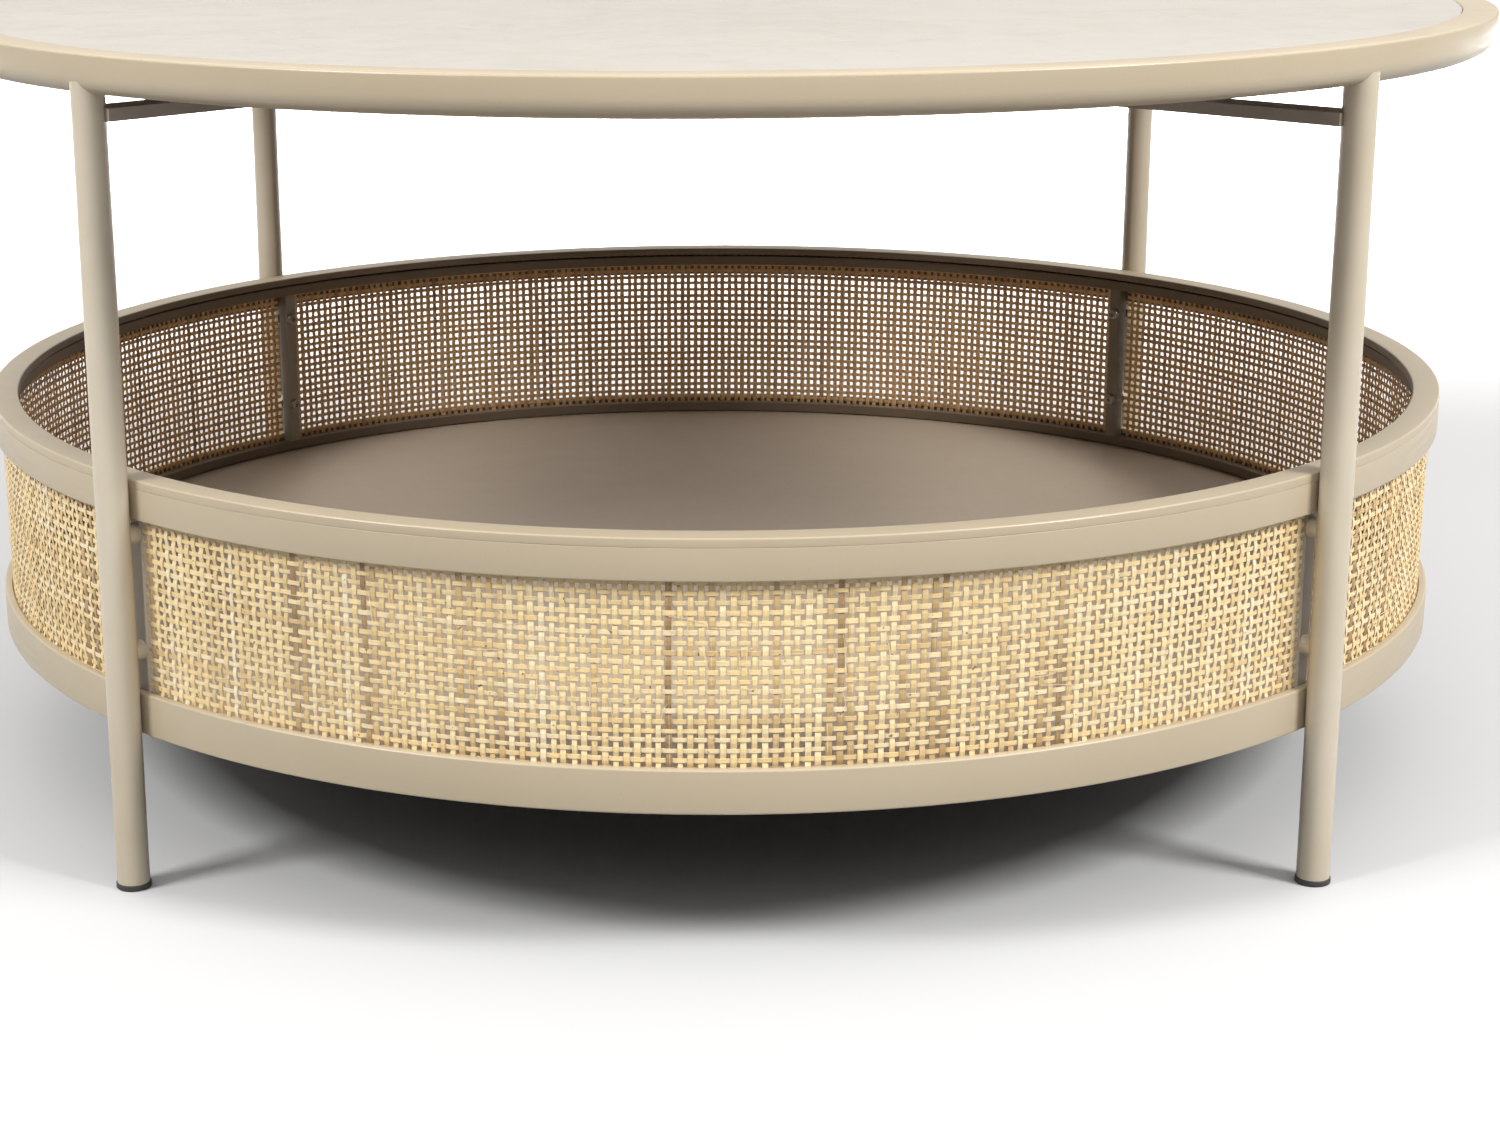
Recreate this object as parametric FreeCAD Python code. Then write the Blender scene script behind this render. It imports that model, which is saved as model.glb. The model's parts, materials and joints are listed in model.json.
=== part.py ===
import FreeCAD, Part

import math
import os

# Round two-tier coffee table: a disc top on four slim posts that also carry an open cane tray.
# Origin: centre of the table on the floor. +Z up, front towards -Y, millimetres.

# ---- driving dimensions ----
TRAY_R = 400.0             # outside radius of the tray's two bands
TRAY_TOP_Z = 205.0         # top face of the tray's rim
TRAY_HEIGHT = 127.5        # rim top to the underside of the lower band
TOP_Z = 405.0              # top face of the table
TOP_THICKNESS = 19.0
POST_R = 8.0
POST_WALL = 1.5
POST_ANGLES = {"front_right": -45.0, "back_right": 45.0, "back_left": 135.0, "front_left": 225.0}
FIT = 0.05                 # radial clearance of a pin, screw or post in its hole
GAP = 0.2                  # air between curved faces that lie against each other
SCREW_TIP_ROOM = 0.5       # depth of a blind hole beyond the end of its screw
TINY = 1e-6

# ---- tray ----
BAND_WALL = 4.0
UPPER_BAND_HEIGHT = 20.0
LOWER_BAND_HEIGHT = 21.0
LIP_WIDTH = 14.0
LIP_THICKNESS = 4.5
LEDGE_WIDTH = 16.0         # flat ring inside the lower band that the floor panel lies on
LEDGE_THICKNESS = 3.0
FLOOR_THICKNESS = 7.0
CANE_THICKNESS = 1.4
CANE_BOTTOM_GAP = 0.5      # from the ledge up to the cane's lower edge
CANE_TOP_GAP = 1.0         # from the cane's upper edge up to the lip
CANE_SIDE_GAP = 1.0        # from the side of an upright to the cane's side edge
HOOP_DEPTH = 6.2
HOOP_HEIGHT = 6.0
LIP_SHADOW_GAP = 1.5       # between the lip and the hoop that clamps the cane under it
FLOOR_SHADOW_GAP = 0.6     # between the floor panel and the hoop above it
UPRIGHT_SIZE = 8.0
UPRIGHT_EDGE_R = 0.8
EDGE_R = 1.0               # small rounding on the outside edges of the bands
SEAM_R = 0.4               # rounding at the joint between the lip and the band under it

BAND_INNER_R = TRAY_R - BAND_WALL
TRAY_BOTTOM_Z = TRAY_TOP_Z - TRAY_HEIGHT
LIP_UNDER_Z = TRAY_TOP_Z - LIP_THICKNESS
LEDGE_TOP_Z = TRAY_BOTTOM_Z + LEDGE_THICKNESS
FLOOR_TOP_Z = LEDGE_TOP_Z + FLOOR_THICKNESS
CANE_OUTER_R = BAND_INNER_R - GAP
CANE_INNER_R = CANE_OUTER_R - CANE_THICKNESS
HOOP_OUTER_R = CANE_INNER_R - GAP
UPPER_HOOP_Z = LIP_UNDER_Z - LIP_SHADOW_GAP - HOOP_HEIGHT
LOWER_HOOP_Z = FLOOR_TOP_Z + FLOOR_SHADOW_GAP
UPRIGHT_OUTER_R = BAND_INNER_R - GAP / 2
UPRIGHT_INNER_R = UPRIGHT_OUTER_R - UPRIGHT_SIZE

# ---- posts and feet ----
POST_CENTRE_R = TRAY_R + POST_R + FIT
POST_SOCKET_DEPTH = 6.0    # how far a post goes up into the edge ring
GLIDE_HEIGHT = 3.0
GLIDE_R = POST_R + 0.6
GLIDE_PLUG_LENGTH = 12.0
GLIDE_PLUG_R = POST_R - POST_WALL - FIT
GLIDE_EDGE_R = 0.8
GLIDE_SHOULDER_R = 0.5
TRAY_SCREW_Z = [TRAY_TOP_Z - 28.0, TRAY_TOP_Z - 86.0]
SPACER_R = 5.0
SCREW_R = 2.0
SCREW_HEAD_R = 3.6
SCREW_HEAD_HEIGHT = 2.2
SCREW_HEAD_ROUND_R = 1.2
HEX_KEY_R = 1.3            # hexagon socket in a screw head, corner radius

# ---- top ----
TOP_R = TRAY_R + 2 * POST_R
BORDER_WIDTH = 18.0
EDGE_ROUND_R = 9.0         # under-edge rounding of the ring
TOP_EDGE_R = 1.5
INSET_EDGE_R = 0.6         # along the joint between the ring and the inset
INSET_THICKNESS = 6.0
CORE_RECESS = 2.0          # the core board stops this far above the ring's underside
TOP_UNDER_Z = TOP_Z - TOP_THICKNESS
RING_INNER_R = TOP_R - BORDER_WIDTH
INSET_R = RING_INNER_R - GAP
CORE_UNDER_Z = TOP_UNDER_Z + CORE_RECESS
INSET_UNDER_Z = TOP_Z - INSET_THICKNESS

# ---- crossed support bars under the top ----
BAR_WIDTH = 20.0
BAR_THICKNESS = 6.0
BAR_DROP = 18.5            # from the ring's underside down to the lower bar's underside
LOWER_BAR_Z = TOP_UNDER_Z - BAR_DROP
UPPER_BAR_Z = LOWER_BAR_Z + BAR_THICKNESS
BAR_END_R = POST_CENTRE_R - POST_R / 2
PAD_R = 7.0
PAD_OFFSETS = [-260.0, -110.0, 110.0, 260.0]
CENTRE_BOLT_R = 3.0
CENTRE_HEAD_R = 5.5
CENTRE_HEAD_HEIGHT = 3.5
CENTRE_HEAD_ROUND_R = 2.0
CENTRE_KEY_FLATS = 4.0
CENTRE_KEY_DEPTH = 2.0
NUT_FLATS = 10.0
NUT_HEIGHT = 5.0
TOP_SCREW_BITE = 8.0       # length of thread in the core board
FLOOR_SCREW_COUNT = 8
FLOOR_SCREW_R = 388.0
FLOOR_SCREW_BITE = 5.0

UP = FreeCAD.Vector(0, 0, 1)
ORIGIN = FreeCAD.Vector(0, 0, 0)


def save(name, shape):
    """Write one sub-part, refusing anything that is not sound closed solids."""
    if not shape.isValid() or not shape.Solids:
        raise ValueError("unsound solid: " + name)
    shape.exportStep("parts/" + name + ".step")


def group(shapes):
    return shapes[0] if len(shapes) == 1 else Part.makeCompound(shapes)


def turned(shape, degrees):
    copy = shape.copy()
    copy.rotate(ORIGIN, UP, degrees)
    return copy


def disc(radius, low, high, x=0.0, y=0.0):
    return Part.makeCylinder(radius, high - low, FreeCAD.Vector(x, y, low))


def rounded_outline(corners):
    """Closed outline in the XZ plane from (x, z, rounding radius) corners, rounded ones as arcs."""
    edges = []
    points = []
    count = len(corners)
    for i, (x, z, radius) in enumerate(corners):
        here = FreeCAD.Vector(x, 0, z)
        before = FreeCAD.Vector(corners[i - 1][0], 0, corners[i - 1][1])
        after = FreeCAD.Vector(corners[(i + 1) % count][0], 0, corners[(i + 1) % count][1])
        if radius <= 0:
            points.append((here, here, here))
            continue
        to_before = (before - here).normalize()
        to_after = (after - here).normalize()
        half = to_before.getAngle(to_after) / 2
        reach = radius / math.tan(half)
        bisector = (to_before + to_after).normalize()
        middle = here + bisector * (radius / math.sin(half) - radius)
        points.append((here + to_before * reach, middle, here + to_after * reach))
    for i, (start, middle, end) in enumerate(points):
        if (start - end).Length > TINY:
            edges.append(Part.Arc(start, middle, end).toShape())
        following = points[(i + 1) % count][0]
        if (end - following).Length > TINY:
            edges.append(Part.LineSegment(end, following).toShape())
    return Part.Face(Part.Wire(edges))


def ring(corners, start=0.0, sweep=360.0):
    """Revolve an outline of (radius, z, rounding) corners about the vertical axis."""
    return turned(rounded_outline(corners).revolve(ORIGIN, UP, sweep), start)


def section(inner, outer, low, high):
    """Plain rectangular outline for ring()."""
    return [(inner, low, 0), (outer, low, 0), (outer, high, 0), (inner, high, 0)]


def radial_rod(radius, inner, outer, z):
    """Round rod along +X between two distances from the table's axis."""
    return Part.makeCylinder(radius, outer - inner, FreeCAD.Vector(inner, 0, z), FreeCAD.Vector(1, 0, 0))


def post_body(radius):
    """Full-height cylinder at the place of a post, before it is turned to its angle."""
    return disc(radius, GLIDE_HEIGHT, TOP_UNDER_Z + POST_SOCKET_DEPTH, POST_CENTRE_R)


def hex_prism(across_flats, low, high):
    corner = across_flats / 2 / math.cos(math.pi / 6)
    points = []
    for k in range(7):
        angle = math.radians(60 * k)
        points.append(FreeCAD.Vector(corner * math.cos(angle), corner * math.sin(angle), low))
    return Part.Face(Part.makePolygon(points)).extrude(UP * (high - low))


def socket_screw(shank_length):
    """Pan-head screw pointing up from z = 0, with the underside of its head there."""
    head = ring([
        (0, -SCREW_HEAD_HEIGHT, 0),
        (SCREW_HEAD_R, -SCREW_HEAD_HEIGHT, SCREW_HEAD_ROUND_R),
        (SCREW_HEAD_R, 0, 0),
        (0, 0, 0),
    ])
    shank = disc(SCREW_R, 0, shank_length)
    key = hex_prism(2 * HEX_KEY_R, -SCREW_HEAD_HEIGHT, -SCREW_HEAD_HEIGHT / 2)
    return head.fuse(shank).removeSplitter().cut(key)


def upright_screw_holes(radius):
    start = UPRIGHT_INNER_R - SCREW_HEAD_HEIGHT
    holes = [radial_rod(radius, start, POST_CENTRE_R, z) for z in TRAY_SCREW_Z]
    return holes[0].fuse(holes[1:])


def make_top():
    socket = post_body(POST_R + FIT)
    edge = ring([
        (RING_INNER_R, TOP_UNDER_Z, 0),
        (TOP_R, TOP_UNDER_Z, EDGE_ROUND_R),
        (TOP_R, TOP_Z, TOP_EDGE_R),
        (RING_INNER_R, TOP_Z, INSET_EDGE_R),
    ])
    for angle in POST_ANGLES.values():
        edge = edge.cut(turned(socket, angle))
    save("top_edge_ring", edge)
    inset = ring([
        (0, INSET_UNDER_Z, 0),
        (INSET_R, INSET_UNDER_Z, 0),
        (INSET_R, TOP_Z, INSET_EDGE_R),
        (0, TOP_Z, 0),
    ])
    save("top_inset_panel", inset)
    core = disc(INSET_R, CORE_UNDER_Z, INSET_UNDER_Z)
    hole_top = CORE_UNDER_Z + TOP_SCREW_BITE + SCREW_TIP_ROOM
    for direction in (POST_ANGLES["front_right"], POST_ANGLES["front_left"]):
        for offset in PAD_OFFSETS:
            hole = disc(SCREW_R + FIT, CORE_UNDER_Z, hole_top, offset)
            core = core.cut(turned(hole, direction))
    save("top_core_board", core)


def make_support_bar(name, pads_name, low, direction):
    """Flat bar from post to post, with the standoff pads that carry the top on it."""
    corner = FreeCAD.Vector(-BAR_END_R, -BAR_WIDTH / 2, low)
    bar = Part.makeBox(2 * BAR_END_R, BAR_WIDTH, BAR_THICKNESS, corner)
    post = post_body(POST_R + FIT)
    bar = bar.cut([post, turned(post, 180), disc(CENTRE_BOLT_R + FIT, low, low + BAR_THICKNESS)])
    pads = []
    for offset in PAD_OFFSETS:
        hole = disc(SCREW_R + 2 * FIT, low, CORE_UNDER_Z, offset)
        bar = bar.cut(hole)
        pads.append(turned(disc(PAD_R, low + BAR_THICKNESS, CORE_UNDER_Z, offset).cut(hole), direction))
    save(name, turned(bar, direction))
    save(pads_name, group(pads))


def make_top_screws():
    screws = []
    bars = ((LOWER_BAR_Z, POST_ANGLES["front_right"]), (UPPER_BAR_Z, POST_ANGLES["front_left"]))
    for low, direction in bars:
        screw = socket_screw(CORE_UNDER_Z + TOP_SCREW_BITE - low)
        for offset in PAD_OFFSETS:
            placed = screw.copy()
            placed.translate(FreeCAD.Vector(offset, 0, low))
            screws.append(turned(placed, direction))
    save("top_screws", group(screws))


def make_centre_bolt():
    head_low = LOWER_BAR_Z - CENTRE_HEAD_HEIGHT
    bolt_top = UPPER_BAR_Z + BAR_THICKNESS + NUT_HEIGHT
    head = ring([
        (0, head_low, 0),
        (CENTRE_HEAD_R, head_low, CENTRE_HEAD_ROUND_R),
        (CENTRE_HEAD_R, LOWER_BAR_Z, 0),
        (0, LOWER_BAR_Z, 0),
    ])
    bolt = head.fuse(disc(CENTRE_BOLT_R, LOWER_BAR_Z, bolt_top)).removeSplitter()
    save("bar_centre_bolt", bolt.cut(hex_prism(CENTRE_KEY_FLATS, head_low, head_low + CENTRE_KEY_DEPTH)))
    nut_low = UPPER_BAR_Z + BAR_THICKNESS
    nut = hex_prism(NUT_FLATS, nut_low, nut_low + NUT_HEIGHT)
    save("bar_centre_nut", nut.cut(disc(CENTRE_BOLT_R + FIT, nut_low, nut_low + NUT_HEIGHT)))


def make_posts():
    tube = post_body(POST_R).cut(post_body(POST_R - POST_WALL)).cut(upright_screw_holes(SCREW_R + FIT))
    glide = ring([
        (0, 0, 0),
        (GLIDE_R, 0, GLIDE_EDGE_R),
        (GLIDE_R, GLIDE_HEIGHT, GLIDE_SHOULDER_R),
        (GLIDE_PLUG_R, GLIDE_HEIGHT, 0),
        (GLIDE_PLUG_R, GLIDE_HEIGHT + GLIDE_PLUG_LENGTH, GLIDE_EDGE_R),
        (0, GLIDE_HEIGHT + GLIDE_PLUG_LENGTH, 0),
    ])
    glide.translate(FreeCAD.Vector(POST_CENTRE_R, 0, 0))
    for place, angle in POST_ANGLES.items():
        save("post_" + place, turned(tube, angle))
        save("foot_glide_" + place, turned(glide, angle))


def make_uprights():
    """Square bars between the hoops, each screwed through to its post with two spacers between."""
    low = LOWER_HOOP_Z + HOOP_HEIGHT
    length = UPPER_HOOP_Z - low
    corner = FreeCAD.Vector(UPRIGHT_INNER_R, -UPRIGHT_SIZE / 2, low)
    bar = Part.makeBox(UPRIGHT_SIZE, UPRIGHT_SIZE, length, corner)
    long_edges = [edge for edge in bar.Edges if abs(edge.Length - length) < TINY]
    bar = bar.makeFillet(UPRIGHT_EDGE_R, long_edges).cut(upright_screw_holes(SCREW_R + FIT))
    post = post_body(POST_R + FIT)
    spacers = []
    screws = []
    for z in TRAY_SCREW_Z:
        sleeve = radial_rod(SPACER_R, UPRIGHT_OUTER_R, POST_CENTRE_R - POST_R / 2, z)
        spacers.append(sleeve.cut(post).cut(radial_rod(SCREW_R + FIT, UPRIGHT_OUTER_R, POST_CENTRE_R, z)))
        screw = socket_screw(POST_CENTRE_R - UPRIGHT_INNER_R)
        screw.rotate(ORIGIN, FreeCAD.Vector(0, 1, 0), 90)
        screw.translate(FreeCAD.Vector(UPRIGHT_INNER_R, 0, z))
        screws.append(screw)
    for place, angle in POST_ANGLES.items():
        save("upright_" + place, turned(bar, angle))
    save("post_spacers", group([turned(s, angle) for angle in POST_ANGLES.values() for s in spacers]))
    save("post_screws", group([turned(s, angle) for angle in POST_ANGLES.values() for s in screws]))


def make_tray_bands():
    save("tray_top_lip", ring([
        (TRAY_R - LIP_WIDTH, LIP_UNDER_Z, 0),
        (TRAY_R, LIP_UNDER_Z, SEAM_R),
        (TRAY_R, TRAY_TOP_Z, EDGE_R),
        (TRAY_R - LIP_WIDTH, TRAY_TOP_Z, EDGE_R),
    ]))
    save("tray_upper_band", ring([
        (BAND_INNER_R, TRAY_TOP_Z - UPPER_BAND_HEIGHT, 0),
        (TRAY_R, TRAY_TOP_Z - UPPER_BAND_HEIGHT, EDGE_R),
        (TRAY_R, LIP_UNDER_Z, SEAM_R),
        (BAND_INNER_R, LIP_UNDER_Z, 0),
    ]))
    band_top = TRAY_BOTTOM_Z + LOWER_BAND_HEIGHT
    save("tray_lower_band", ring([
        (BAND_INNER_R, TRAY_BOTTOM_Z, 0),
        (TRAY_R, TRAY_BOTTOM_Z, EDGE_R),
        (TRAY_R, band_top, EDGE_R),
        (BAND_INNER_R, band_top, 0),
    ]))


def make_tray_floor():
    """Flat ledge inside the lower band and the round panel that is screwed down on it."""
    ledge = ring(section(BAND_INNER_R - LEDGE_WIDTH, BAND_INNER_R, TRAY_BOTTOM_Z, LEDGE_TOP_Z))
    floor = disc(HOOP_OUTER_R - GAP, LEDGE_TOP_Z, FLOOR_TOP_Z)
    screw = socket_screw(LEDGE_THICKNESS + FLOOR_SCREW_BITE)
    screw.translate(FreeCAD.Vector(FLOOR_SCREW_R, 0, TRAY_BOTTOM_Z))
    hole_top = LEDGE_TOP_Z + FLOOR_SCREW_BITE + SCREW_TIP_ROOM
    hole = disc(SCREW_R + FIT, TRAY_BOTTOM_Z, hole_top, FLOOR_SCREW_R)
    screws = []
    for k in range(FLOOR_SCREW_COUNT):
        angle = (k + 0.5) * 360.0 / FLOOR_SCREW_COUNT
        screws.append(turned(screw, angle))
        ledge = ledge.cut(turned(hole, angle))
        floor = floor.cut(turned(hole, angle))
    save("tray_floor_ledge", ledge)
    save("tray_floor_panel", floor)
    save("floor_panel_screws", group(screws))


def make_cane_panel(place, start):
    """One quarter of the tray's wall: the cane between two uprights."""
    margin = math.degrees(math.asin((UPRIGHT_SIZE / 2 + CANE_SIDE_GAP) / CANE_INNER_R))
    low = LEDGE_TOP_Z + CANE_BOTTOM_GAP
    cane = section(CANE_INNER_R, CANE_OUTER_R, low, LIP_UNDER_Z - CANE_TOP_GAP)
    save("cane_panel_" + place, ring(cane, start + margin, 90 - 2 * margin))


def make_clamp_hoops():
    """Hoops that press the cane's upper and lower edges outwards against the bands."""
    for level, low in (("upper", UPPER_HOOP_Z), ("lower", LOWER_HOOP_Z)):
        inner_r = HOOP_OUTER_R - HOOP_DEPTH
        save("clamp_hoop_" + level, ring([
            (inner_r, low, SEAM_R),
            (HOOP_OUTER_R, low, 0),
            (HOOP_OUTER_R, low + HOOP_HEIGHT, 0),
            (inner_r, low + HOOP_HEIGHT, SEAM_R),
        ]))


os.makedirs("parts", exist_ok=True)
make_top()
make_support_bar("support_bar_lower", "lower_bar_pads", LOWER_BAR_Z, POST_ANGLES["front_right"])
make_support_bar("support_bar_upper", "upper_bar_pads", UPPER_BAR_Z, POST_ANGLES["front_left"])
make_top_screws()
make_centre_bolt()
make_posts()
make_uprights()
make_tray_bands()
make_tray_floor()
make_clamp_hoops()
for side_name, side_start in (("right", -45.0), ("back", 45.0), ("left", 135.0), ("front", 225.0)):
    make_cane_panel(side_name, side_start)
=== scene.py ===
import json
import math
from types import SimpleNamespace

import bmesh
import bpy
import numpy as np
from mathutils import Matrix, Vector


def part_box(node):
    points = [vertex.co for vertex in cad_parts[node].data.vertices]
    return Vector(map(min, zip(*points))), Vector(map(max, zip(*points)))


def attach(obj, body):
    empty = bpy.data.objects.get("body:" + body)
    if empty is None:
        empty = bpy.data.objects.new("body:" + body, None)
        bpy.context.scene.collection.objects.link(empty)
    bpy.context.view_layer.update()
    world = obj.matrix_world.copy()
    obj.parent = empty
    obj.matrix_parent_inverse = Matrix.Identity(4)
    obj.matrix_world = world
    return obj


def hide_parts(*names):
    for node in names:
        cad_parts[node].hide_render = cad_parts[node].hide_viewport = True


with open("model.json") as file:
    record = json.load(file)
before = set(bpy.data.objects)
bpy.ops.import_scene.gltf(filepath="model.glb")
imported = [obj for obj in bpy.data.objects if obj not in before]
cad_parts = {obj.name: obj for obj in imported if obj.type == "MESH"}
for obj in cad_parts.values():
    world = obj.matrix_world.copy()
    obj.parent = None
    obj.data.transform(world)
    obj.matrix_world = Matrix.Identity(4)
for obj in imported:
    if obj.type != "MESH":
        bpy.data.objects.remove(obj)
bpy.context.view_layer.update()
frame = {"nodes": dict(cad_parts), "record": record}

# ---- read from the frame ----
SIDES = {"right": 0.0, "back": 90.0, "left": 180.0, "front": 270.0}
TRAY_TOP_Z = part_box("tray_top_lip")[1].z
TRAY_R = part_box("tray_top_lip")[1].x

# ---- rings, metres ----
BAND_WALL = 0.004
LIP_WIDTH = 0.014
LEDGE_WIDTH = 0.020         # from the outside of the lower band in to the ledge's edge
INSET_GAP = 0.0002          # joint between the top's edge and its cream panel

# ---- cane, metres ----
WARP_COUNT = 524            # upright strands round the whole tray
ROW_PITCH = 0.00454
WARP_WIDTH = 0.0028
WEFT_WIDTH = 0.0023
STRAND_THICKNESS = 0.00040
# (across, out) of a strand's six edges, as shares of its half width and half thickness
STRAND_SECTION = ((-1.0, 0.0), (-0.86, 1.0), (0.86, 1.0), (1.0, 0.0), (0.80, -1.0), (-0.80, -1.0))
WEAVE_AMPLITUDE = 0.00026   # how far a strand swings to each side of the panel's middle
PANEL_THICKNESS = 0.0014
WARP_DRIFT = 0.00020        # slow wander of a strand off its line
WARP_DRIFT_PERIOD = 0.02
WARP_OFFSET = 0.00010       # scatter of whole strands off their even spacing
WARP_WIDTHS = (0.86, 1.08)  # range of strand widths, as a share of the usual one
WARP_TWIST = 0.055
WARP_DARK_SHARE = 0.05      # part of the strands that are brown
WEFT_DRIFT = 0.00018
WEFT_DRIFT_PERIOD = 0.03
WEFT_OFFSET = 0.00008
WEFT_WIDTHS = (0.88, 1.08)
WEFT_TWIST = 0.05
WEFT_DARK_SHARE = 0.015
WEFT_END_TRIM = 0.0008      # level strands stop up to this much short of the panel's side edges
DARK_TONES = (0.0, 0.16)
STRAW_TONES = (0.18, 0.95)
STRAW_MEAN = 0.54
STRAW_SPREAD = 0.19

# ---- loose hairs on the cane, metres ----
FIBRES = 110                # on each quarter
FIBRE_LENGTHS = (0.005, 0.020)
FIBRE_HALF_WIDTHS = (0.00012, 0.00022)
FIBRE_HALF_THICKNESS = 0.00005
FIBRE_TONES = (0.6, 1.0)
FIBRE_LIFT = 0.00052        # from the panel's middle out to where a hair lies on the weave
FIBRE_BOW = 0.0009
FIBRE_SWAY = 0.0012
FIBRE_SLANT = 0.12
FIBRE_CLEAR_BELOW = 0.018   # none over the lower band
FIBRE_CLEAR_ABOVE = 0.014   # none under the upper band

# ---- colours ----
# painted shade: dark brown standing in for the shade under the top on the tray's inner faces
SHADED_INNER_COAT = (0.220, 0.166, 0.115, 1.0)
FLOOR_BOUNCE = (0.22, 0.22, 0.23, 1.0)
BACKDROP_SEEN = 0.85        # brightness of the far surroundings as the camera sees them

# ---- studio ----
TRAY_CENTRE = (0.0, 0.0, 0.2)
CAMERA_DISTANCE = 1.5702    # from the table's axis
CAMERA_HEIGHT = TRAY_TOP_Z + 0.3144
CAMERA_TURN = 0.0199        # how far round to the left of the front it stands, radians
CAMERA_HEADING = -0.0120
CAMERA_PITCH = 0.2709
CAMERA_ROLL = 0.0085
CAMERA_LENS = 67.25
CAMERA_SENSOR = 36.0
CAMERA_SHIFT = 0.084

random = np.random.default_rng(349)


# ---------------------------------------------------------------- mesh helpers

def mesh_object(name, vertices, faces, smooth=True, sharp_angle=None):
    """Object from an (n, 3) array and an (m, 4) array of quads."""
    vertices = np.asarray(vertices, np.float32)
    faces = np.asarray(faces, np.int32)
    mesh = bpy.data.meshes.new(name)
    mesh.vertices.add(len(vertices))
    mesh.vertices.foreach_set("co", vertices.ravel())
    mesh.loops.add(faces.size)
    mesh.loops.foreach_set("vertex_index", faces.ravel())
    mesh.polygons.add(len(faces))
    mesh.polygons.foreach_set("loop_start", np.arange(0, faces.size, 4, dtype=np.int32))
    mesh.polygons.foreach_set("use_smooth", np.full(len(faces), smooth))
    mesh.update(calc_edges=True)
    mesh.validate()
    if sharp_angle is not None:
        mesh.set_sharp_from_angle(angle=math.radians(sharp_angle))
    obj = bpy.data.objects.new(name, mesh)
    bpy.context.scene.collection.objects.link(obj)
    return obj


def rounded_profile(corners, steps=5):
    """Closed (radius, z) outline; corners, given as (radius, z, rounding), become short arcs."""
    points = []
    count = len(corners)
    for i, (x, z, radius) in enumerate(corners):
        here = np.array([x, z])
        if radius <= 0:
            points.append(here)
            continue
        to_before = np.array(corners[i - 1][:2]) - here
        to_after = np.array(corners[(i + 1) % count][:2]) - here
        to_before /= np.linalg.norm(to_before)
        to_after /= np.linalg.norm(to_after)
        half = math.acos(float(np.clip(to_before @ to_after, -1, 1))) / 2
        bisector = to_before + to_after
        bisector /= np.linalg.norm(bisector)
        centre = here + bisector * radius / math.sin(half)
        start = here + to_before * radius / math.tan(half) - centre
        end = here + to_after * radius / math.tan(half) - centre
        swing = math.acos(float(np.clip(start @ end / radius ** 2, -1, 1)))
        for k in range(steps + 1):
            t = k / steps
            blend = math.sin((1 - t) * swing) * start + math.sin(t * swing) * end
            points.append(centre + blend / math.sin(swing))
    return np.array(points)


def lathe(name, corners, segments=480, steps=5):
    """Closed ring made by turning a rounded outline about the vertical axis."""
    profile = rounded_profile(corners, steps)
    angles = np.linspace(0, 2 * math.pi, segments, endpoint=False)
    rings = np.empty((segments, len(profile), 3))
    rings[:, :, 0] = np.cos(angles)[:, None] * profile[:, 0]
    rings[:, :, 1] = np.sin(angles)[:, None] * profile[:, 0]
    rings[:, :, 2] = profile[:, 1]
    count = len(profile)
    a, b = np.meshgrid(np.arange(segments), np.arange(count), indexing="ij")
    here, after = a * count, (a + 1) % segments * count
    after_b = (b + 1) % count
    faces = np.stack([here + b, after + b, after + after_b, here + after_b], -1)
    return mesh_object(name, rings.reshape(-1, 3), faces.reshape(-1, 4), sharp_angle=35)


# ---------------------------------------------------------------- material helpers

def new_material(name, roughness=0.5, metallic=0.0, specular=0.5):
    material = bpy.data.materials.new(name)
    material.use_nodes = True
    tree = material.node_tree
    shader = tree.nodes["Principled BSDF"]
    shader.inputs["Roughness"].default_value = roughness
    shader.inputs["Metallic"].default_value = metallic
    shader.inputs["Specular IOR Level"].default_value = specular
    return material, tree, shader


def node(tree, kind, inputs=None, **settings):
    made = tree.nodes.new(kind)
    for key, value in settings.items():
        setattr(made, key, value)
    for key, value in (inputs or {}).items():
        if isinstance(value, bpy.types.NodeSocket):
            tree.links.new(value, made.inputs[key])
        else:
            made.inputs[key].default_value = value
    return made


def place(tree, scale=(1.0, 1.0, 1.0)):
    """Position on the object, stretched by a scale on each axis."""
    inputs = {"Vector": node(tree, "ShaderNodeTexCoord").outputs["Object"], "Scale": scale}
    return node(tree, "ShaderNodeMapping", inputs).outputs["Vector"]


def noise(tree, vector, scale, detail=3.0, roughness=0.5, distortion=0.0):
    inputs = {"Vector": vector, "Scale": scale, "Detail": detail}
    inputs.update({"Roughness": roughness, "Distortion": distortion})
    return node(tree, "ShaderNodeTexNoise", inputs).outputs["Fac"]


def remap(tree, value, low, high, to_low=0.0, to_high=1.0):
    inputs = {"Value": value, "From Min": low, "From Max": high}
    inputs.update({"To Min": to_low, "To Max": to_high})
    return node(tree, "ShaderNodeMapRange", inputs, clamp=True).outputs["Result"]


def math_node(tree, operation, a, b=0.0):
    return node(tree, "ShaderNodeMath", {0: a, 1: b}, operation=operation).outputs[0]


def vector_math(tree, operation, *vectors):
    return node(tree, "ShaderNodeVectorMath", dict(enumerate(vectors)), operation=operation).outputs


def attribute(tree, name, output):
    made = node(tree, "ShaderNodeAttribute", attribute_name=name, attribute_type="GEOMETRY")
    return made.outputs[output]


def use(tree, shader, name, socket):
    tree.links.new(socket, shader.inputs[name])


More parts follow.
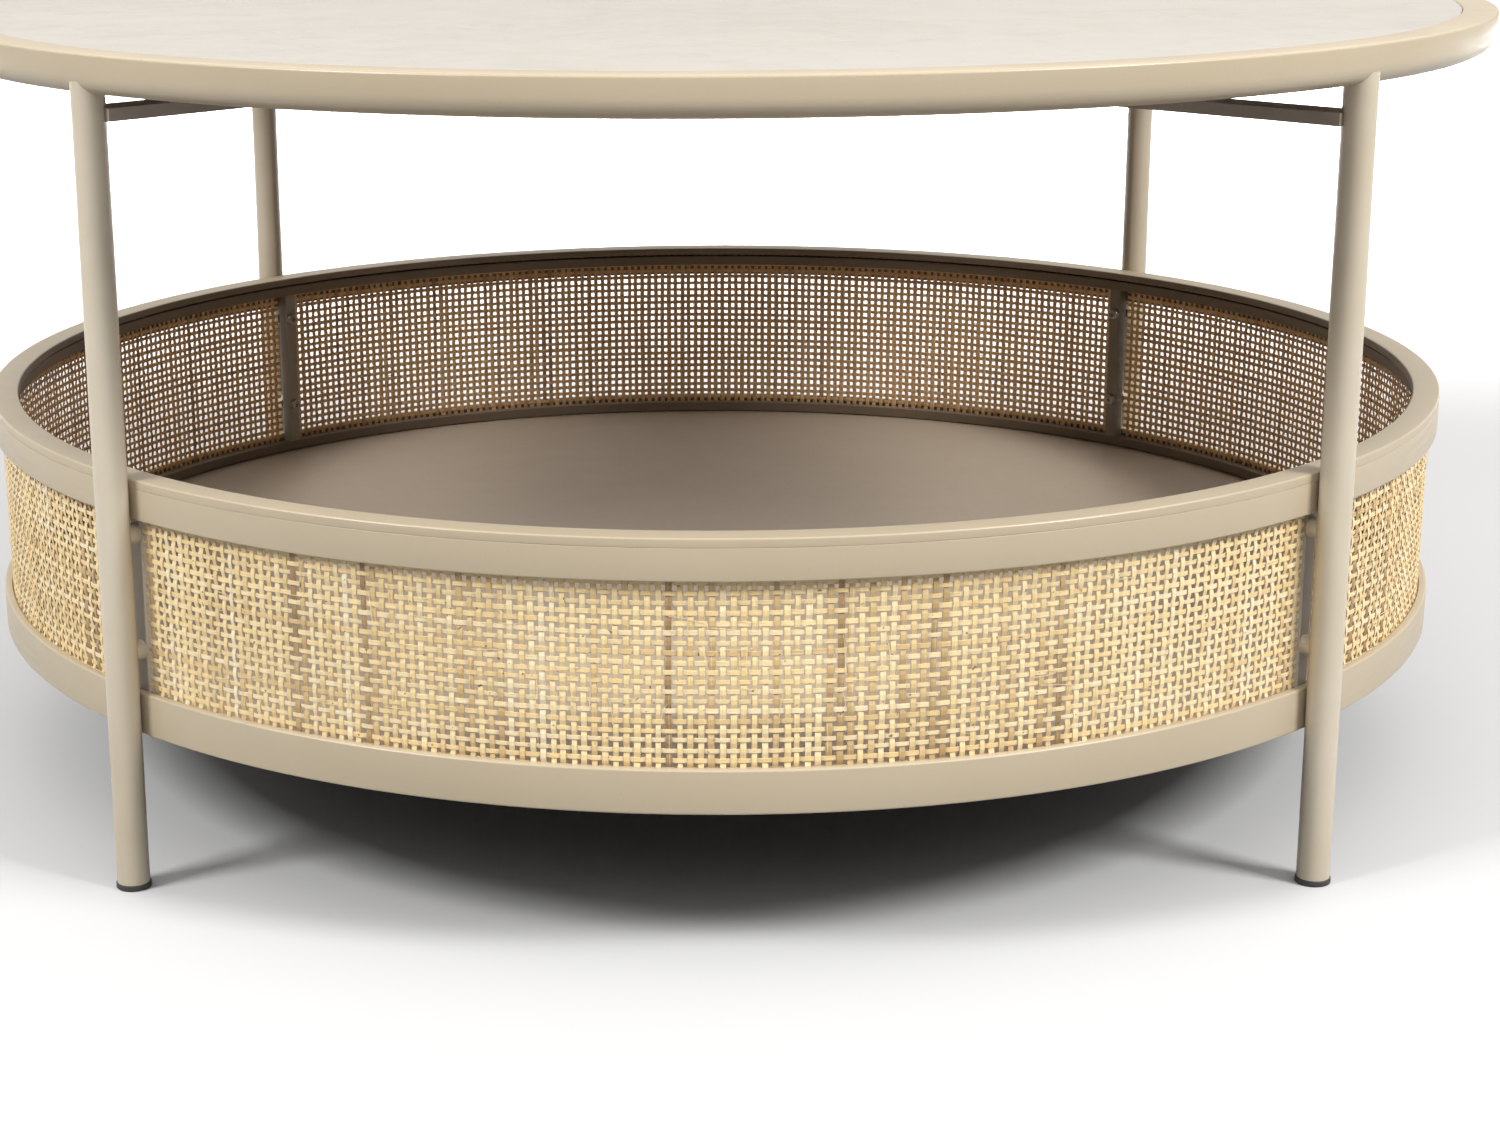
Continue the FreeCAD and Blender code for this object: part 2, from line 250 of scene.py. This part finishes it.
def mix(tree, factor, a, b, blend="MIX"):
    made = node(tree, "ShaderNodeMix", data_type="RGBA", blend_type=blend)
    colour_sockets = [s for s in made.inputs if s.type == "RGBA"]
    for socket, value in ((made.inputs[0], factor), (colour_sockets[0], a), (colour_sockets[1], b)):
        if isinstance(value, bpy.types.NodeSocket):
            tree.links.new(value, socket)
        else:
            socket.default_value = value
    return next(s for s in made.outputs if s.type == "RGBA")


def ramp(tree, value, stops):
    made = node(tree, "ShaderNodeValToRGB", {"Fac": value})
    elements = made.color_ramp.elements
    while len(elements) < len(stops):
        elements.new(0.5)
    for element, (position, colour) in zip(elements, stops):
        element.position = position
        element.color = colour
    return made.outputs["Color"]


def bump(tree, shader, height, distance, strength=1.0):
    inputs = {"Height": height, "Distance": distance, "Strength": strength}
    use(tree, shader, "Normal", node(tree, "ShaderNodeBump", inputs).outputs["Normal"])


def rgb(red, green, blue):
    return (red, green, blue, 1.0)


# ---------------------------------------------------------------- materials

def powder_coat(name, dark, light, roughness, inner_shade=None):
    """Satin powder coat: orange peel, faint clouding, dust specks and lighter, rubbed edges.
    A darker inner colour, painted shade, is used on the ring faces that look at the table's axis,
    which the top keeps in shade."""
    material, tree, shader = new_material(name, roughness)
    position = place(tree)
    clouds = noise(tree, position, 5.0, 4.0, 0.55)
    colour = mix(tree, remap(tree, clouds, 0.3, 0.7), dark, light)
    specks = remap(tree, noise(tree, position, 900.0, 2.0), 0.68, 0.80)
    colour = mix(tree, math_node(tree, "MULTIPLY", specks, 0.30), colour, rgb(0.30, 0.25, 0.18))
    edges = node(tree, "ShaderNodeNewGeometry").outputs["Pointiness"]
    patchy = remap(tree, clouds, 0.35, 0.65, 0.15, 0.45)
    worn = math_node(tree, "MULTIPLY", remap(tree, edges, 0.52, 0.60), patchy)
    colour = mix(tree, worn, colour, rgb(0.80, 0.74, 0.62))
    if inner_shade is not None:
        # painted shade: ring faces turned towards the axis take the darker inner colour
        normal = node(tree, "ShaderNodeTexCoord").outputs["Normal"]
        flat = vector_math(tree, "MULTIPLY", position, (1.0, 1.0, 0.0))[0]
        radius = vector_math(tree, "LENGTH", flat)["Value"]
        facing = vector_math(tree, "DOT_PRODUCT", normal, flat)["Value"]
        inward = remap(tree, math_node(tree, "DIVIDE", facing, radius), -0.75, -0.9)
        on_ring = math_node(tree, "LESS_THAN", radius, TRAY_R - BAND_WALL / 2)
        colour = mix(tree, math_node(tree, "MULTIPLY", inward, on_ring), colour, inner_shade)
    use(tree, shader, "Base Color", colour)
    scuffs = noise(tree, place(tree, (1.0, 1.0, 14.0)), 22.0, 5.0, 0.65)
    gloss = remap(tree, scuffs, 0.3, 0.75, roughness - 0.05, roughness + 0.12)
    use(tree, shader, "Roughness", gloss)
    bump(tree, shader, noise(tree, position, 620.0, 2.0, 0.4), 0.00006, 0.5)
    return material


def cream_stone():
    """Honed cream stone: faint warm and grey veins, fine grain, small changes of gloss."""
    material, tree, shader = new_material("cream_stone", 0.4, specular=0.2)
    position = place(tree)
    warp = noise(tree, position, 3.0, 5.0, 0.6)
    bent = vector_math(tree, "ADD", position, warp)[0]
    vein = noise(tree, bent, 2.6, 8.0, 0.62, 1.4)
    from_vein = math_node(tree, "ABSOLUTE", math_node(tree, "SUBTRACT", vein, 0.5))
    line = remap(tree, from_vein, 0.0, 0.030, 0.40, 0.0)
    clouds = remap(tree, warp, 0.3, 0.7)
    colour = mix(tree, clouds, rgb(0.468, 0.436, 0.388), rgb(0.503, 0.470, 0.422))
    colour = mix(tree, line, colour, rgb(0.44, 0.39, 0.33))
    grain = remap(tree, noise(tree, position, 1400.0, 2.0), 0.35, 0.75)
    colour = mix(tree, math_node(tree, "MULTIPLY", grain, 0.10), colour, rgb(0.42, 0.382, 0.338))
    use(tree, shader, "Base Color", colour)
    gloss = remap(tree, noise(tree, position, 40.0, 4.0), 0.3, 0.7, 0.34, 0.46)
    use(tree, shader, "Roughness", gloss)
    bump(tree, shader, grain, 0.00003, 0.25)
    return material


def taupe_board():
    """Satin taupe lacquer on a board: faint roller texture and soft clouding."""
    material, tree, shader = new_material("taupe_board", 0.40, specular=0.18)
    position = place(tree)
    clouds = remap(tree, noise(tree, position, 3.5, 4.0, 0.55), 0.3, 0.7)
    colour = mix(tree, clouds, rgb(0.480, 0.394, 0.302), rgb(0.530, 0.437, 0.337))
    fine = noise(tree, place(tree, (1.0, 6.0, 1.0)), 260.0, 3.0)
    colour = mix(tree, remap(tree, fine, 0.55, 0.8, 0.0, 0.35), colour, rgb(0.25, 0.21, 0.17))
    normal = node(tree, "ShaderNodeTexCoord").outputs["Normal"]
    up = node(tree, "ShaderNodeSeparateXYZ", {0: normal}).outputs[2]
    # painted shade: faces turned down are coloured near black, standing in for the shade under the
    # tray and so that little light bounces from them onto the floor
    underside_shade = mix(tree, fine, rgb(0.035, 0.031, 0.028), rgb(0.055, 0.050, 0.045))
    colour = mix(tree, remap(tree, up, -0.5, -0.6), colour, underside_shade)
    use(tree, shader, "Base Color", colour)
    gloss = remap(tree, noise(tree, position, 30.0, 4.0), 0.3, 0.7, 0.34, 0.44)
    use(tree, shader, "Roughness", gloss)
    bump(tree, shader, noise(tree, position, 520.0, 2.0), 0.00005, 0.4)
    return material


def sealed_board():
    """Dark sealed fibreboard, seen only from below."""
    material, tree, shader = new_material("sealed_board", 0.7)
    position = place(tree)
    fibres = noise(tree, place(tree, (1.0, 9.0, 1.0)), 90.0, 5.0, 0.6)
    tones = remap(tree, fibres, 0.3, 0.7)
    use(tree, shader, "Base Color", mix(tree, tones, rgb(0.13, 0.10, 0.075), rgb(0.20, 0.16, 0.12)))
    use(tree, shader, "Roughness", remap(tree, fibres, 0.3, 0.7, 0.6, 0.8))
    bump(tree, shader, noise(tree, position, 700.0, 3.0), 0.00012, 0.5)
    return material


def plated_steel():
    """Zinc plate with fine turning marks and dull patches."""
    material, tree, shader = new_material("plated_steel", 0.35, metallic=1.0)
    position = place(tree)
    patches = noise(tree, position, 160.0, 4.0)
    tones = remap(tree, patches, 0.3, 0.7)
    use(tree, shader, "Base Color", mix(tree, tones, rgb(0.30, 0.28, 0.25), rgb(0.45, 0.43, 0.40)))
    use(tree, shader, "Roughness", remap(tree, patches, 0.3, 0.7, 0.25, 0.48))
    marks = noise(tree, place(tree, (1.0, 1.0, 20.0)), 900.0, 2.0)
    bump(tree, shader, marks, 0.00003, 0.4)
    return material


def moulded(name, dark, light, roughness):
    """Moulded plastic or rubber with a fine sparked texture."""
    material, tree, shader = new_material(name, roughness)
    position = place(tree)
    patches = noise(tree, position, 120.0, 4.0)
    use(tree, shader, "Base Color", mix(tree, remap(tree, patches, 0.3, 0.7), dark, light))
    gloss = remap(tree, patches, 0.3, 0.7, roughness - 0.08, roughness + 0.1)
    use(tree, shader, "Roughness", gloss)
    bump(tree, shader, noise(tree, position, 2600.0, 2.0), 0.00006, 0.6)
    return material


def cane_material():
    """Split cane. The strand attribute holds metres along, place across (-1 to 1) and the
    strand's tone. The pith attribute is 0 on the outer bark and 1 on the browner inner side."""
    material, tree, shader = new_material("split_cane", 0.48, specular=0.45)
    strand = attribute(tree, "strand", "Vector")
    along, across, own = node(tree, "ShaderNodeSeparateXYZ", {0: strand}).outputs
    seed = math_node(tree, "MULTIPLY", own, 61.7)
    fibre_place = node(tree, "ShaderNodeCombineXYZ", {
        0: math_node(tree, "MULTIPLY", along, 30.0),
        1: math_node(tree, "MULTIPLY", across, 2.2),
        2: seed,
    }).outputs[0]
    fibres = noise(tree, fibre_place, 2.0, 4.0, 0.65)
    stretched = math_node(tree, "MULTIPLY", along, 14.0)
    slow_place = node(tree, "ShaderNodeCombineXYZ", {0: stretched, 1: seed}).outputs[0]
    slow = noise(tree, slow_place, 1.0, 2.0, 0.5)
    drift = math_node(tree, "MULTIPLY", math_node(tree, "SUBTRACT", slow, 0.5), 0.75)
    tone = math_node(tree, "ADD", own, drift)
    straw = ramp(tree, tone, [
        (0.00, rgb(0.25, 0.145, 0.060)),
        (0.09, rgb(0.42, 0.275, 0.125)),
        (0.22, rgb(0.66, 0.47, 0.225)),
        (0.45, rgb(0.92, 0.715, 0.365)),
        (0.70, rgb(0.96, 0.790, 0.465)),
        (1.00, rgb(0.97, 0.85, 0.59)),
    ])
    dark_fibres = remap(tree, fibres, 0.38, 0.72, 0.0, 0.55)
    colour = mix(tree, dark_fibres, straw, rgb(0.62, 0.43, 0.20))
    pale_fibres = remap(tree, fibres, 0.44, 0.25, 0.0, 0.50)
    colour = mix(tree, pale_fibres, colour, rgb(0.93, 0.84, 0.64))
    edge = remap(tree, math_node(tree, "ABSOLUTE", across), 0.74, 1.0, 0.0, 0.45)
    colour = mix(tree, edge, colour, rgb(0.46, 0.30, 0.13))
    silver = remap(tree, noise(tree, fibre_place, 0.55, 3.0, 0.5), 0.58, 0.74, 0.0, 0.45)
    colour = mix(tree, silver, colour, rgb(0.88, 0.77, 0.61))
    position = place(tree)
    stains = remap(tree, noise(tree, position, 95.0, 3.0, 0.6, 1.5), 0.69, 0.76, 0.0, 0.65)
    colour = mix(tree, stains, colour, rgb(0.36, 0.20, 0.085))
    specks = remap(tree, noise(tree, position, 420.0, 1.0, 0.4), 0.73, 0.78)
    colour = mix(tree, math_node(tree, "MULTIPLY", specks, 0.80), colour, rgb(0.13, 0.07, 0.035))
    inner = mix(tree, 1.0, colour, rgb(0.98, 0.77, 0.58), "MULTIPLY")
    inner = mix(tree, 0.35, inner, rgb(0.78, 0.56, 0.38))
    pith = remap(tree, attribute(tree, "pith", "Fac"), 0.4, 0.9)
    use(tree, shader, "Base Color", mix(tree, pith, colour, inner))
    use(tree, shader, "Roughness", remap(tree, fibres, 0.25, 0.75, 0.36, 0.62))
    bump(tree, shader, fibres, 0.00008, 0.7)
    return material


def floor_material():
    """White studio floor that throws little light back, so that the undersides stay dark."""
    material, tree, shader = new_material("studio_floor", 0.9, specular=0.1)
    dust = noise(tree, place(tree), 2.0, 3.0)
    white = mix(tree, dust, rgb(0.61, 0.61, 0.61), rgb(0.63, 0.63, 0.63))
    bounced = node(tree, "ShaderNodeLightPath").outputs["Is Diffuse Ray"]
    use(tree, shader, "Base Color", mix(tree, bounced, white, FLOOR_BOUNCE))
    return material


MATERIALS = {
    "beige_powder_coat": powder_coat(
        "beige_powder_coat", rgb(0.475, 0.393, 0.270), rgb(0.508, 0.424, 0.298), 0.33, SHADED_INNER_COAT),
    # painted shade: a darker copy of the beige, standing in for the shade the parts in this slot
    # sit in under the top
    "inner_powder_coat": powder_coat(
        "inner_powder_coat", rgb(0.190, 0.140, 0.096), SHADED_INNER_COAT, 0.42),
    "dark_powder_coat": powder_coat(
        "dark_powder_coat", rgb(0.115, 0.086, 0.060), rgb(0.135, 0.102, 0.071), 0.45),
    "cream_top": cream_stone(),
    "core_board": sealed_board(),
    "tray_floor": taupe_board(),
    "woven_cane": cane_material(),
    "zinc_screws": plated_steel(),
    "glide_plastic": moulded(
        "glide_plastic", rgb(0.035, 0.032, 0.03), rgb(0.055, 0.05, 0.045), 0.5),
    "standoff_rubber": moulded(
        "standoff_rubber", rgb(0.02, 0.02, 0.02), rgb(0.035, 0.034, 0.033), 0.75),
}


def finish_piece(piece, slot, *replaced):
    """Material of the slot, body, and hiding of the CAD nodes that the piece stands for."""
    piece.data.materials.append(MATERIALS[slot])
    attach(piece, "root")
    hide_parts(*replaced)


def dress_cad_nodes():
    slots = {part["node"]: part["material_slot"] for part in frame["record"]["subparts"]}
    for name, obj in frame["nodes"].items():
        obj.data.materials.clear()
        obj.data.materials.append(MATERIALS[slots[name]])


# ---------------------------------------------------------------- cane

def ribbon(centres, wide, thick, along, tone):
    """Flat strand with bevelled sides, from (n, 3) points on its line and half-size vectors.
    Returns its vertices, its marks (along, across, tone, pith) and its quads."""
    count, sides = len(centres), len(STRAND_SECTION)
    lines = [(centres + a * wide + b * thick)[:, None, :] for a, b in STRAND_SECTION]
    marks = np.empty((count, sides, 4))
    marks[:, :, 0] = along[:, None]
    marks[:, :, 1] = [a for a, b in STRAND_SECTION]
    marks[:, :, 2] = tone
    marks[:, :, 3] = [(1 - b) / 2 for a, b in STRAND_SECTION]
    i, j = np.meshgrid(np.arange(count - 1), np.arange(sides), indexing="ij")
    here, after = i * sides, (i + 1) * sides
    next_j = (j + 1) % sides
    walls = np.stack([here + j, here + next_j, after + next_j, after + j], -1).reshape(-1, 4)
    start_caps = np.array([[0, 3, 2, 1], [0, 5, 4, 3]])
    end_caps = (count - 1) * sides + np.array([[0, 1, 2, 3], [3, 4, 5, 0]])
    vertices = np.concatenate(lines, axis=1).reshape(-1, 3)
    return vertices, marks.reshape(-1, 4), np.concatenate([walls, start_caps, end_caps])


def strands_object(name, strands):
    """One object from many ribbons, with the two attributes that the cane material reads."""
    vertices, marks, faces = [], [], []
    offset = 0
    for strand_vertices, strand_marks, strand_faces in strands:
        vertices.append(strand_vertices)
        marks.append(strand_marks)
        faces.append(strand_faces + offset)
        offset += len(strand_vertices)
    obj = mesh_object(name, np.concatenate(vertices), np.concatenate(faces), smooth=False)
    marks = np.concatenate(marks).astype(np.float32)
    strand = obj.data.attributes.new("strand", "FLOAT_VECTOR", "POINT")
    strand.data.foreach_set("vector", np.ascontiguousarray(marks[:, :3]).ravel())
    pith = obj.data.attributes.new("pith", "FLOAT", "POINT")
    pith.data.foreach_set("value", np.ascontiguousarray(marks[:, 3]))
    return obj


def weave_stations(count, pitch, start, half_flat):
    """Places along a strand and its side of the panel there (1, -1, or 0 between crossings):
    two ends of the flat over each crossing, and the middle of each gap."""
    stations, signs = [], []
    for k in range(count):
        centre = start + k * pitch
        stations += [centre - half_flat, centre + half_flat, centre + pitch / 2]
        side = 1.0 if k % 2 == 0 else -1.0
        signs += [side, side, 0.0]
    return np.array(stations[:-1]), np.array(signs[:-1])


def strand_tone(dark_share):
    """A number from 0, brown, to 1, pale, with most strands straw coloured."""
    if random.random() < dark_share:
        return random.uniform(*DARK_TONES)
    return float(np.clip(random.normal(STRAW_MEAN, STRAW_SPREAD), *STRAW_TONES))


def wander(positions, size, period):
    """Smooth small drift along a strand."""
    phases = random.uniform(0, 2 * math.pi, 3)
    lengths = period * random.uniform(0.5, 1.6, 3)
    waves = sum(np.sin(positions / length + phase) for length, phase in zip(lengths, phases))
    return size * waves / 1.7


def directions(angle):
    """Outward and sideways unit vectors at each angle about the table's axis."""
    zero = np.zeros_like(angle)
    outward = np.stack([np.cos(angle), np.sin(angle), zero], 1)
    sideways = np.stack([-np.sin(angle), np.cos(angle), zero], 1)
    return outward, sideways


def upward(lengths):
    zero = np.zeros_like(lengths)
    return np.stack([zero, zero, lengths], 1)


def panel_layout(side, heading):
    """Radius, angles and heights of one quarter of the wall, and how many strands it holds."""
    low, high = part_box("cane_panel_" + side)
    outer_r = max(abs(low.x), abs(low.y), high.x, high.y)
    quarter = 2 * outer_r * math.sin(math.pi / 4)
    chord = min(high.x - low.x, high.y - low.y, key=lambda length: abs(length - quarter))
    half_angle = math.asin(chord / 2 / outer_r)
    pitch = 2 * math.pi / WARP_COUNT
    warps = int(2 * half_angle / pitch)
    rows = int((high.z - low.z) / ROW_PITCH)
    return SimpleNamespace(
        middle_r=outer_r - PANEL_THICKNESS / 2,
        heading=math.radians(heading),
        half_angle=half_angle,
        low=low.z,
        high=high.z,
        pitch=pitch,
        warps=warps,
        rows=rows,
        first=math.radians(heading) - pitch * (warps - 1) / 2,
        lowest=low.z + (high.z - low.z - (rows - 1) * ROW_PITCH) / 2,
    )


def upright_strand(panel, number):
    z, side = weave_stations(panel.rows, ROW_PITCH, panel.lowest, WEFT_WIDTH / 2)
    z = np.concatenate([[panel.low], z, [panel.high]])
    side = np.concatenate([[0.0], side if number % 2 == 0 else -side, [0.0]])
    angle = panel.first + number * panel.pitch
    angle = angle + wander(z, WARP_DRIFT, WARP_DRIFT_PERIOD) / panel.middle_r
    angle = angle + random.normal(0, WARP_OFFSET) / panel.middle_r
    outward, sideways = directions(angle)
    width = WARP_WIDTH / 2 * random.uniform(*WARP_WIDTHS) * (1 + wander(z, 0.04, 0.015))
    twist = random.normal(0, WARP_TWIST)
    wide = sideways * width[:, None] + outward * (width * twist)[:, None]
    radius = panel.middle_r + WEAVE_AMPLITUDE * side
    centres = outward * radius[:, None] + upward(z)
    thick = outward * STRAND_THICKNESS / 2
    return ribbon(centres, wide, thick, z, strand_tone(WARP_DARK_SHARE))


def level_strand(panel, number):
    half_flat = WARP_WIDTH / 2 / panel.middle_r
    angle, side = weave_stations(panel.warps, panel.pitch, panel.first, half_flat)
    trim = random.uniform(0.0, WEFT_END_TRIM, 2) / panel.middle_r
    start = panel.heading - panel.half_angle + trim[0]
    end = panel.heading + panel.half_angle - trim[1]
    angle = np.concatenate([[start], angle, [end]])
    side = np.concatenate([[0.0], -side if number % 2 == 0 else side, [0.0]])
    along = angle * panel.middle_r
    z = panel.lowest + number * ROW_PITCH + wander(along, WEFT_DRIFT, WEFT_DRIFT_PERIOD)
    z = z + random.normal(0, WEFT_OFFSET)
    outward, _ = directions(angle)
    width = WEFT_WIDTH / 2 * random.uniform(*WEFT_WIDTHS) * (1 + wander(along, 0.05, 0.02))
    twist = random.normal(0, WEFT_TWIST)
    wide = outward * (width * twist)[:, None] + upward(width)
    radius = panel.middle_r + WEAVE_AMPLITUDE * side
    centres = outward * radius[:, None] + upward(z)
    thick = outward * STRAND_THICKNESS / 2
    return ribbon(centres, wide, thick, along + number, strand_tone(WEFT_DARK_SHARE))


def loose_fibre(panel):
    """Hair split from a strand: lies along it, lifts in a shallow bow and drifts sideways."""
    low = panel.low + FIBRE_CLEAR_BELOW
    high = panel.high - FIBRE_CLEAR_ABOVE
    length = random.uniform(*FIBRE_LENGTHS)
    level = random.random() < 0.5
    t = np.linspace(0, 1, 9)
    slide = length * (t - 0.5)
    drift = random.normal(0, FIBRE_SLANT) * length * t ** 2 + random.uniform(-1, 1) * FIBRE_SWAY
    reach = panel.half_angle - 0.5 * length / panel.middle_r - 0.006
    start = panel.heading + random.uniform(-1, 1) * reach
    z_start = random.uniform(low + 0.6 * length + 0.002, high - 0.6 * length - 0.002)
    angle = start + (slide if level else drift) / panel.middle_r
    z = z_start + (drift if level else slide)
    bow = random.uniform(0.0, FIBRE_BOW)
    arch = np.sin(math.pi * np.clip(t * random.uniform(0.6, 1.0), 0, 1))
    outward, sideways = directions(angle)
    centres = outward * (panel.middle_r + (FIBRE_LIFT + bow * arch))[:, None] + upward(z)
    width = random.uniform(*FIBRE_HALF_WIDTHS) * (1 - 0.5 * t)
    wide = upward(width) if level else sideways * width[:, None]
    thick = outward * FIBRE_HALF_THICKNESS
    return ribbon(centres, wide, thick, slide, random.uniform(*FIBRE_TONES))


def weave_panel(side, heading):
    """The cane of one quarter of the wall: upright and level strands, and the loose hairs."""
    panel = panel_layout(side, heading)
    node_name = "cane_panel_" + side
    uprights = [upright_strand(panel, number) for number in range(panel.warps)]
    levels = [level_strand(panel, number) for number in range(panel.rows)]
    levels += [loose_fibre(panel) for _ in range(FIBRES)]
    finish_piece(strands_object("cane_uprights_" + side, uprights), "woven_cane", node_name)
    finish_piece(strands_object("cane_levels_" + side, levels), "woven_cane", node_name)


# ---------------------------------------------------------------- rings

def ring_from_node(name, node_name, inner_r, rounding):
    """Finer copy of a plain ring, with its rounding at low inner, low outer, high outer and
    high inner corner."""
    low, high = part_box(node_name)
    corners = [(inner_r, low.z), (high.x, low.z), (high.x, high.z), (inner_r, high.z)]
    outline = [(r, z, size) for (r, z), size in zip(corners, rounding)]
    finish_piece(lathe(name, outline), "beige_powder_coat", node_name)


def build_rings():
    inset_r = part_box("top_inset_panel")[1].x
    band_inner_r = TRAY_R - BAND_WALL
    lip_inner_r = TRAY_R - LIP_WIDTH
    ledge_inner_r = TRAY_R - LEDGE_WIDTH
    top_rounding = (0.0005, 0.009, 0.0015, 0.0006)
    ring_from_node("top_edge", "top_edge_ring", inset_r + INSET_GAP, top_rounding)
    ring_from_node("tray_lip", "tray_top_lip", lip_inner_r, (0.0004, 0.0003, 0.001, 0.001))
    ring_from_node("upper_band", "tray_upper_band", band_inner_r, (0.0004, 0.001, 0.0003, 0.0004))
    low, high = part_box("tray_lower_band")
    ledge_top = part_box("tray_floor_panel")[0].z
    outline = [
        (ledge_inner_r, low.z, 0.0004),
        (TRAY_R, low.z, 0.001),
        (TRAY_R, high.z, 0.001),
        (band_inner_r, high.z, 0.0004),
        (band_inner_r, ledge_top, 0.0),
        (ledge_inner_r, ledge_top, 0.0004),
    ]
    band = lathe("lower_band", outline)
    finish_piece(band, "beige_powder_coat", "tray_lower_band", "tray_floor_ledge")


# ---------------------------------------------------------------- camera, light, floor

def add_camera():
    """Camera a little left of the front, looking down at the tray from a low tripod."""
    sin_heading, cos_heading = math.sin(CAMERA_HEADING), math.cos(CAMERA_HEADING)
    sin_pitch, cos_pitch = math.sin(CAMERA_PITCH), math.cos(CAMERA_PITCH)
    sin_roll, cos_roll = math.sin(CAMERA_ROLL), math.cos(CAMERA_ROLL)
    forward = Vector((sin_heading * cos_pitch, cos_heading * cos_pitch, -sin_pitch))
    right = Vector((cos_heading, -sin_heading, 0.0))
    down = forward.cross(right)
    level = right * cos_roll + down * sin_roll
    drop = down * cos_roll - right * sin_roll
    rotation = Matrix((level, -drop, -forward)).transposed()
    x = -CAMERA_DISTANCE * math.sin(CAMERA_TURN)
    y = -CAMERA_DISTANCE * math.cos(CAMERA_TURN)
    data = bpy.data.cameras.new("camera")
    data.sensor_width = CAMERA_SENSOR
    data.lens = CAMERA_LENS
    data.shift_x = CAMERA_SHIFT
    camera = bpy.data.objects.new("camera", data)
    camera.matrix_world = rotation.to_4x4()
    camera.location = (x, y, CAMERA_HEIGHT)
    bpy.context.scene.collection.objects.link(camera)
    bpy.context.scene.camera = camera


def add_area(name, location, target, size, power, spread=180.0):
    data = bpy.data.lights.new(name, "AREA")
    data.shape = "RECTANGLE"
    data.size, data.size_y = size
    data.energy = power
    data.spread = math.radians(spread)
    lamp = bpy.data.objects.new(name, data)
    lamp.location = location
    aim = Vector(target) - Vector(location)
    lamp.rotation_euler = aim.to_track_quat("-Z", "Y").to_euler()
    bpy.context.scene.collection.objects.link(lamp)


def add_world():
    """Soft dome, bright overhead, and a bright backdrop behind the table; dim low down in front.
    Seen past the floor's edge it is pale in every direction."""
    world = bpy.data.worlds.new("studio")
    bpy.context.scene.world = world
    world.use_nodes = True
    tree = world.node_tree
    direction = node(tree, "ShaderNodeTexCoord").outputs["Generated"]
    _, depth, height = node(tree, "ShaderNodeSeparateXYZ", {0: direction}).outputs
    overhead = remap(tree, height, 0.30, 0.52, 0.03, 1.0)
    low_down = remap(tree, height, 0.60, 0.40, 0.0, 0.50)
    behind = math_node(tree, "MULTIPLY", remap(tree, depth, 0.25, 0.70), low_down)
    light = math_node(tree, "ADD", overhead, behind)
    to_camera = node(tree, "ShaderNodeLightPath").outputs["Is Camera Ray"]
    seen = math_node(tree, "MULTIPLY", to_camera, BACKDROP_SEEN)
    background = tree.nodes["Background"]
    background.inputs["Color"].default_value = rgb(1.0, 0.99, 0.98)
    use(tree, background, "Strength", math_node(tree, "MAXIMUM", light, seen))


def add_floor():
    mesh = bpy.data.meshes.new("floor")
    grid = bmesh.new()
    bmesh.ops.create_grid(grid, x_segments=24, y_segments=24, size=30.0)
    grid.to_mesh(mesh)
    grid.free()
    floor = bpy.data.objects.new("floor", mesh)
    bpy.context.scene.collection.objects.link(floor)
    mesh.materials.append(floor_material())


dress_cad_nodes()
build_rings()
for panel_side, panel_heading in SIDES.items():
    weave_panel(panel_side, panel_heading)
add_camera()
add_world()
add_area("front_high", (0.2, -2.2, 2.85), TRAY_CENTRE, (2.0, 1.2), 6.0)
add_area("left_high", (-2.02, -1.46, 2.0), TRAY_CENTRE, (0.8, 0.7), 59.0)
add_area("right_high", (2.08, -1.46, 1.95), TRAY_CENTRE, (0.8, 0.7), 77.0)
add_area("backdrop_wash", (0.0, 2.4, 2.6), (0.0, 3.2, 0.0), (6.0, 2.0), 400.0, spread=80.0)
add_floor()
bpy.context.scene.view_settings.view_transform = "Standard"
